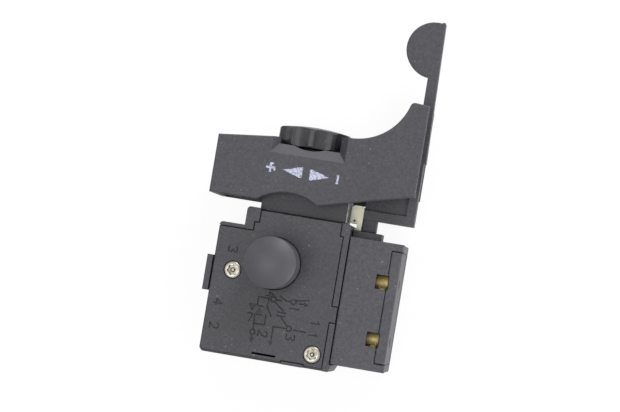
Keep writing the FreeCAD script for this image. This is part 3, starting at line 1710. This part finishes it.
def module_case():
    """Open case of the reversing module, pushed onto the housing's rail."""
    piece = Piece("module_case")
    wall = dims.module_wall
    outline = rectangle(
        across(dims.module_left), up(dims.module_low), across(dims.module_right), up(dims.module_top)
    )
    piece.pad("shell", outline, dims.module_back, dims.lid_back)
    piece.fillet("corners", dims.module_corner, upright_at(*outline))
    pad_left = dims.module_left + dims.cap_gap
    pad = rectangle(
        across(pad_left),
        dims.middle - dims.pad_depth / 2,
        across(pad_left + dims.pad_width),
        dims.middle + dims.pad_depth / 2,
    )
    piece.pad("collar", pad, up(dims.module_top - wall / 2), up(dims.pad_top), "y")
    piece.fillet("collar_end", dims.pad_round, level_at(pad[1], pad[2]))
    cavity = rectangle(
        across(dims.module_left + wall),
        up(dims.module_low + wall),
        across(dims.cap_left - wall),
        up(dims.module_top - wall),
    )
    piece.pocket("cavity", cavity, dims.module_back + wall, dims.lid_back + OVER)
    gap = dims.cap_gap
    piece.box(
        "cap_bay",
        (across(dims.cap_left), up(dims.cap_low), dims.module_back + wall),
        (across(dims.module_right + OVER), up(dims.cap_high), dims.lid_back + OVER),
        cut=True,
    )
    rail = dims.module_centre
    piece.box(
        "rail_groove",
        (
            across(dims.module_left - OVER),
            up(rail - dims.rail_height / 2 - gap),
            dims.middle - dims.rail_depth / 2 - gap,
        ),
        (
            across(dims.case_width + dims.rail_reach + gap),
            up(rail + dims.rail_height / 2 + gap),
            dims.middle + dims.rail_depth / 2 + gap,
        ),
        cut=True,
    )
    bore = (across(dims.lever_across), up(dims.module_top - wall - OVER), dims.middle)
    reach = wall + dims.pad_height + OVER * 2
    radius = dims.journal_radius + dims.running_gap
    piece.round_bar("lever_bore", bore, radius, reach, "y", cut=True)
    pivot = (across(dims.lever_across), up(dims.module_low + wall - dims.rotor_pivot_depth), dims.middle)
    pivot_radius = dims.rotor_pivot_radius + dims.running_gap
    length = dims.rotor_pivot_depth + OVER
    piece.round_bar("pivot_bore", pivot, pivot_radius, length, "y", cut=True)
    for name, height in sleeve_places():
        start = (across(dims.cap_left - wall - OVER), up(height), dims.sleeve_level)
        hole = dims.sleeve_radius + dims.seat_gap
        piece.round_bar(f"sleeve_hole_{name}", start, hole, wall + OVER * 2, "x", cut=True)
        half = dims.window_height / 2
        piece.box(
            f"sight_{name}",
            (across(dims.cap_left - wall - OVER), up(height - half), dims.sleeve_level),
            (across(dims.cap_left + OVER), up(height + half), dims.lid_back + OVER),
            cut=True,
        )


def sleeve_places():
    """Name and height of each brass sleeve of the module."""
    return [("low", dims.sleeve_up_low), ("high", dims.sleeve_up_high)]


def module_lid():
    """Face plate of the module, with a window over each brass sleeve."""
    piece = Piece("module_lid")
    outline = [
        (across(dims.module_left), up(dims.module_low)),
        (across(dims.module_right), up(dims.module_low)),
        (across(dims.module_right), up(dims.cap_low - dims.cap_gap)),
        (across(dims.cap_left), up(dims.cap_low - dims.cap_gap)),
        (across(dims.cap_left), up(dims.cap_high + dims.cap_gap)),
        (across(dims.module_right), up(dims.cap_high + dims.cap_gap)),
        (across(dims.module_right), up(dims.module_top)),
        (across(dims.module_left), up(dims.module_top)),
    ]
    piece.pad("plate", outline, dims.lid_back, dims.module_front)
    piece.chamfer("bevel", dims.lid_bevel, lies_at_level(dims.module_front))
    half = dims.window_height / 2
    for name, height in sleeve_places():
        piece.box(
            f"window_{name}",
            (across(dims.window_left), up(height - half), dims.lid_back - OVER),
            (across(dims.cap_left + OVER), up(height + half), dims.module_front + OVER),
            cut=True,
        )


def terminal_cap():
    """Bar on the module's outer side, bored for the wires that enter the sleeves."""
    piece = Piece("terminal_cap")
    gap = dims.cap_gap
    outline = rectangle(
        across(dims.cap_left + gap),
        up(dims.cap_low + gap),
        across(dims.module_right - gap),
        up(dims.cap_high - gap),
    )
    piece.pad("bar", outline, dims.module_back + dims.module_wall + gap, dims.module_front)
    piece.chamfer("bevel", dims.lid_bevel, lies_at_level(dims.module_front))
    half = dims.window_height / 2
    for name, height in sleeve_places():
        start = (across(dims.cap_left - OVER), up(height), dims.sleeve_level)
        length = dims.cap_width + OVER * 2
        piece.round_bar(f"wire_{name}", start, dims.wire_radius, length, "x", cut=True)
        piece.box(
            f"notch_{name}",
            (across(dims.cap_left), up(height - half), dims.sleeve_level + dims.sleeve_radius),
            (across(dims.cap_left + dims.window_notch), up(height + half), dims.module_front + OVER),
            cut=True,
        )


def wire_sleeves():
    """Two brass sleeves, each behind a wire entry of the module."""
    for name, height in sleeve_places():
        piece = Piece(f"wire_sleeve_{name}")
        start = (across(dims.sleeve_left), up(height), dims.sleeve_level)
        piece.round_bar("tube", start, dims.sleeve_radius, dims.sleeve_length, "x")
        inside = (across(dims.sleeve_left + dims.leaf_thickness), up(height), dims.sleeve_level)
        length = dims.sleeve_length + OVER
        piece.round_bar("bore", inside, dims.wire_radius, length, "x", cut=True)


def contact_leaves():
    """Two brass leaves between the sleeves and the rotor's contact rings."""
    for name, height in sleeve_places():
        piece = Piece(f"contact_leaf_{name}")
        half = dims.leaf_width / 2
        left = dims.sleeve_left - dims.leaf_thickness
        piece.box(
            "leaf",
            (across(left), up(height - half), dims.middle - half),
            (across(dims.sleeve_left), up(height + half), dims.sleeve_level + half),
        )


def detent_leaf():
    """Steel leaf on the module's inner wall, beside the rotor."""
    piece = Piece("detent_leaf")
    left = dims.module_left + dims.module_wall
    thick = dims.lever_across - dims.rotor_radius - left - dims.seat_gap
    centre = (dims.sleeve_up_low + dims.sleeve_up_high) / 2
    piece.box(
        "leaf",
        (across(left), up(centre - dims.leaf_width), dims.middle - dims.leaf_width),
        (across(left + thick), up(centre + dims.leaf_width), dims.middle + dims.leaf_width),
    )


def reverse_lever():
    """Reversing lever: neck and foot over the module, web, arm and half-moon tab."""
    piece = Piece("reverse_lever")
    half = dims.lever_depth / 2
    neck = dims.neck_width / 2
    x = dims.lever_across
    section = rectangle(across(x - neck), dims.middle - neck, across(x + neck), dims.middle + neck)
    piece.pad("neck", section, up(dims.pad_top + dims.neck_gap), up(dims.foot_top - OVER), "y")
    piece.fillet("neck_edges", dims.neck_round, level_at(*section))
    start = (across(x), up(dims.module_top - dims.rotor_drop), dims.middle)
    length = dims.pad_top + dims.neck_gap - (dims.module_top - dims.rotor_drop) + OVER
    piece.round_bar("journal", start, dims.journal_radius, length, "y")
    key = dims.key_size / 2
    key_low = dims.module_top - dims.rotor_drop - dims.key_length
    piece.box(
        "key",
        (across(x - key), up(key_low), dims.middle - key),
        (across(x + key), up(dims.module_top - dims.rotor_drop + OVER), dims.middle + key),
    )
    piece.box(
        "foot",
        (across(x - neck), up(dims.foot_up), dims.middle - half),
        (across(dims.foot_end), up(dims.foot_top), dims.middle + half),
    )
    web = dims.lever_web / 2
    sheet_outline = [
        (across(x - neck), up(dims.foot_top - OVER)),
        (across(dims.post_inner + OVER), up(dims.foot_top - OVER)),
        (across(dims.post_inner + OVER), up(dims.web_up)),
        (across(x - neck), up(dims.web_up - dims.web_slope)),
    ]
    piece.pad("web", sheet_outline, dims.middle - web, dims.middle + web)
    piece.box(
        "post",
        (across(dims.post_inner), up(dims.foot_up), dims.middle - half),
        (across(dims.foot_end), up(dims.web_up), dims.middle + half),
    )
    add_arm(piece)
    peg = (across(x - neck), up(dims.foot_up + dims.foot_thickness / 2), dims.middle)
    radius = dims.peg_radius + dims.running_gap
    length = dims.peg_length + dims.running_gap
    piece.round_bar("peg_hole", peg, radius, length, "x", cut=True)


def add_arm(piece):
    """Leaning arm and the half-moon tab at its end, with the nub on its corner."""
    depth = dims.arm_depth / 2
    back = dims.middle - depth
    front = dims.middle + depth
    centre_x = dims.tab_centre_across
    centre_y = dims.tab_centre_up
    radius = dims.tab_radius
    outer = dims.arm_outer
    top_outer = outer - dims.arm_lean
    nub_left = top_outer - dims.nub_width
    inner_run = centre_x - dims.arm_inner
    tab_low = centre_y - root(radius * radius - inner_run * inner_run)
    top_run = nub_left - dims.nub_slope - centre_x
    tab_top = centre_y + root(radius * radius - top_run * top_run)
    side = top_outer - dims.nub_setback
    arm = [
        (across(dims.arm_inner), up(dims.arm_step_up)),
        (across(outer), up(dims.arm_step_up)),
        (across(top_outer), up(tab_top)),
        (across(dims.arm_inner), up(tab_top - dims.tab_round * 2)),
    ]
    piece.pad("arm", arm, back, front)
    moon = [
        (across(side), up(tab_low)),
        (across(side), up(tab_top + dims.nub_rise)),
        (across(nub_left), up(tab_top + dims.nub_rise)),
        (across(nub_left - dims.nub_slope), up(tab_top)),
        Bend(across(centre_x - radius), up(centre_y), radius, "left"),
        Bend(across(dims.arm_inner), up(tab_low), radius, "left"),
    ]
    piece.pad("tab", moon, back, front)
    piece.fillet("tab_edges", dims.tab_edge, round_at_level(back, front))


def interlock_tongue():
    """Cream nylon tongue pegged into the lever's foot, beside the neck."""
    piece = Piece("interlock_tongue")
    right = dims.tongue_left + dims.tongue_width
    low = dims.tongue_low
    top = low + dims.tongue_height
    half = dims.tongue_depth / 2
    outline = [
        (across(dims.tongue_left + dims.tongue_cut), up(low)),
        (across(right), up(low)),
        (across(right), up(top)),
        (across(dims.tongue_left), up(top)),
        (across(dims.tongue_left), up(low + dims.tongue_step)),
        (across(dims.tongue_left + dims.tongue_cut), up(low + dims.tongue_step)),
    ]
    piece.pad("tongue", outline, dims.middle - half, dims.middle + half)
    piece.fillet("corner", dims.tongue_round, upright_at(outline[2], outline[3]))
    start = (across(right - OVER), up(dims.foot_up + dims.foot_thickness / 2), dims.middle)
    piece.round_bar("peg", start, dims.peg_radius, dims.peg_length + OVER, "x")
    hole_y = low + dims.tongue_step + dims.tongue_hole * 2
    hole = (across(dims.tongue_left + dims.tongue_hole_inset), up(hole_y), dims.middle)
    piece.round_bar("eye", hole, dims.tongue_hole, half + OVER, cut=True)


def rotor():
    """Nylon rotor keyed to the lever, in the module."""
    piece = Piece("rotor")
    top = dims.module_top - dims.rotor_drop - dims.seat_gap
    x = dims.lever_across
    start = (across(x), up(dims.rotor_low), dims.middle)
    piece.round_bar("drum", start, dims.rotor_radius, top - dims.rotor_low, "y")
    floor = dims.module_low + dims.module_wall
    pivot_low = floor - dims.rotor_pivot_depth + dims.running_gap
    pivot = (across(x), up(pivot_low), dims.middle)
    length = dims.rotor_low - pivot_low + OVER
    piece.round_bar("pivot", pivot, dims.rotor_pivot_radius, length, "y")
    key = dims.key_size / 2 + dims.running_gap
    piece.box(
        "keyway",
        (across(x - key), up(top - dims.key_length - dims.running_gap), dims.middle - key),
        (across(x + key), up(top + OVER), dims.middle + key),
        cut=True,
    )


def contact_rings():
    """Brass part rings round the rotor, facing the leaves."""
    turn = FreeCAD.Rotation(FreeCAD.Vector(0, 1, 0), -SIZES["contact_ring_angle"] / 2)
    for name, height in sleeve_places():
        piece = Piece(f"contact_ring_{name}")
        inner = dims.rotor_radius + dims.running_gap
        outer = inner + dims.contact_ring_thickness
        sector = piece.feature("PartDesign::AdditiveCylinder", "sector")
        bind(sector, "Radius", outer)
        bind(sector, "Height", dims.contact_ring_width)
        bind(sector, "Angle", dims.contact_ring_angle)
        place(sector, (0, -dims.contact_ring_width / 2, 0), TURNS["y"])
        piece.round_bar(
            "bore",
            (0, -dims.contact_ring_width / 2 - OVER, 0),
            inner,
            dims.contact_ring_width + OVER * 2,
            "y",
            cut=True,
        )
        place(piece.body, (across(dims.lever_across), up(height), dims.middle), turn)


def build():
    """Make every sub-part, from the housing outwards."""
    base_shell()
    cover_plate()
    cover_screws()
    wire_clamps()
    lock_button()
    lock_pin()
    lock_spring()
    plunger()
    guide_strip()
    contact_bridge()
    contact_spring()
    return_spring()
    fixed_contacts()
    circuit_board()
    triac()
    heat_sink()
    board_parts()
    capacitor()
    wiper()
    trigger()
    speed_dial()
    dial_screw()
    dial_clip()
    stop_nut()
    module_case()
    module_lid()
    terminal_cap()
    wire_sleeves()
    contact_leaves()
    detent_leaf()
    reverse_lever()
    interlock_tongue()
    rotor()
    contact_rings()
    doc.recompute()


def check():
    """Stop if a feature failed, a cut cut nothing or a sub-part is no good solid."""
    for item in doc.Objects:
        if "Invalid" in item.State or "Error" in item.State:
            raise RuntimeError(f"{item.Name} failed: {item.State}")
    for piece in Piece.made:
        shape = piece.body.Shape
        if shape.isNull() or not shape.isValid() or not shape.Solids:
            raise RuntimeError(f"{piece.body.Label} is not a good solid")
        for cut in piece.cuts:
            if cut.Shape.Volume > cut.BaseFeature.Shape.Volume - NEAR:
                raise RuntimeError(f"{cut.Name} cuts nothing")


def write():
    """Write each sub-part to a file of its own name."""
    os.makedirs("parts", exist_ok=True)
    for piece in Piece.made:
        piece.body.Shape.exportStep(f"parts/{piece.body.Label}.step")


build()
check()
write()
